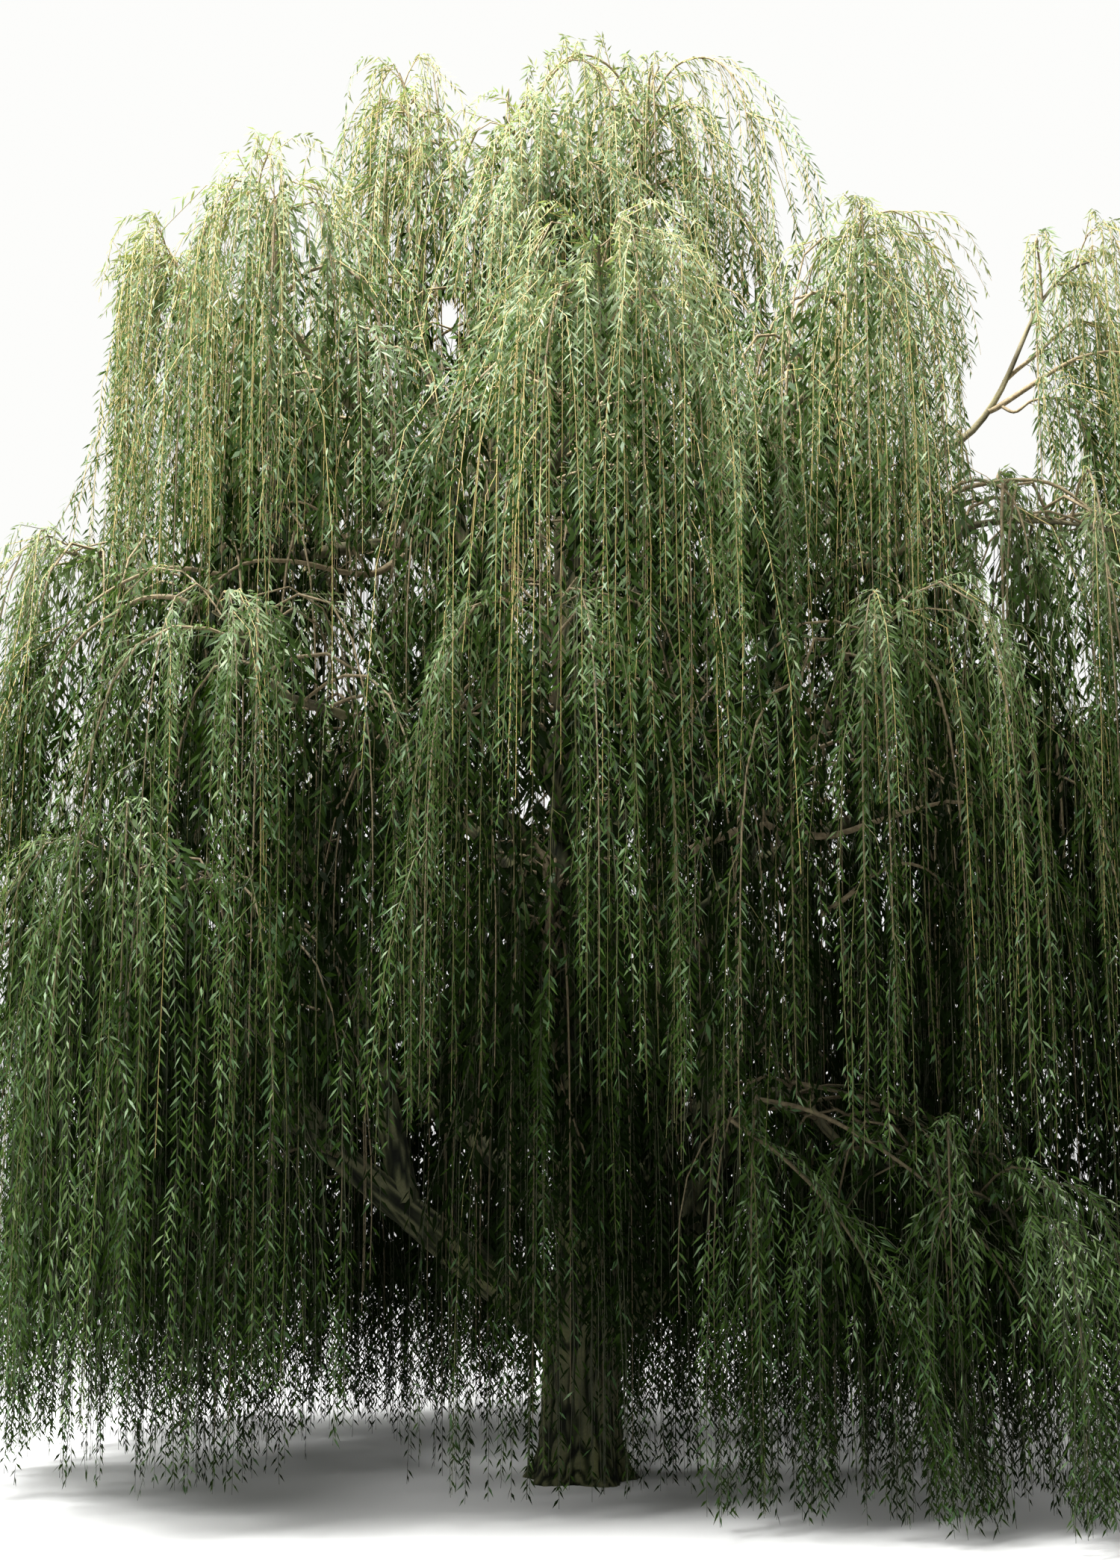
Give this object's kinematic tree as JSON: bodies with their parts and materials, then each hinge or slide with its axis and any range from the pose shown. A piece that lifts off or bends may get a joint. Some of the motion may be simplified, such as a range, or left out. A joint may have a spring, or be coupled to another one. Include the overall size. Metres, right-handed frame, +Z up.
{
  "type": "weeping willow tree",
  "caption": "Weeping willow tree with a flared trunk that forks low, spreading boughs and a domed crown of long hanging twigs with narrow leaves that reach towards the ground.",
  "frame": {"origin": "centre of the trunk's flat cut at ground level, which is the mount named ground", "axes": "+Z up along the trunk to the top of the crown, +X to the right and +Y away as the picture shows the tree"},
  "size_m": [9.1496, 8.2936, 10.7127],
  "materials": {
    "bark": "rough furrowed bark",
    "foliage_top": "matt yellow-green leaves in full light",
    "foliage_middle": "matt mid-green leaves with pale undersides",
    "foliage_low": "matt deep green leaves"
  },
  "bodies": {
    "root": {"trunk": "bark", "bough_leader_middle": "bark", "bough_leader_right": "bark", "bough_leader_left": "bark", "bough_leader_back": "bark", "bough_shoulder_front_left": "bark", "bough_shoulder_left": "bark", "bough_shoulder_back_left": "bark", "bough_shoulder_back": "bark", "bough_shoulder_back_right": "bark", "bough_shoulder_right": "bark", "bough_shoulder_front_right": "bark", "bough_shoulder_front": "bark", "bough_right_riser": "bark", "bough_middle_left": "bark", "bough_middle_front_left": "bark", "bough_middle_front": "bark", "bough_middle_front_right": "bark", "bough_middle_right": "bark", "bough_middle_back_right": "bark", "bough_middle_back": "bark", "bough_middle_back_left": "bark", "bough_low_left": "bark", "bough_left_riser": "bark", "bough_low_front_left": "bark", "bough_low_right": "bark", "bough_low_front_right": "bark", "bough_low_back_right": "bark", "bough_low_back": "bark", "bough_low_back_left": "bark", "bough_low_front": "bark", "foliage_leader_middle": "foliage_top", "foliage_leader_right": "foliage_top", "foliage_leader_left": "foliage_top", "foliage_leader_back": "foliage_top", "foliage_shoulder_front_left": "foliage_top", "foliage_shoulder_left": "foliage_top", "foliage_shoulder_back_left": "foliage_top", "foliage_shoulder_back": "foliage_middle", "foliage_shoulder_back_right": "foliage_top", "foliage_shoulder_right": "foliage_top", "foliage_shoulder_front_right": "foliage_top", "foliage_shoulder_front": "foliage_top", "foliage_middle_left": "foliage_middle", "foliage_middle_front_left": "foliage_middle", "foliage_middle_front": "foliage_middle", "foliage_middle_front_right": "foliage_middle", "foliage_middle_right": "foliage_middle", "foliage_middle_back_right": "foliage_middle", "foliage_middle_back": "foliage_middle", "foliage_middle_back_left": "foliage_middle", "foliage_low_left": "foliage_low", "foliage_left_riser": "foliage_middle", "foliage_low_front_left": "foliage_low", "foliage_low_right": "foliage_middle", "foliage_low_front_right": "foliage_low", "foliage_low_back_right": "foliage_low", "foliage_low_back": "foliage_low", "foliage_low_back_left": "foliage_low", "foliage_low_front": "foliage_low"}
  },
  "joints": []
}
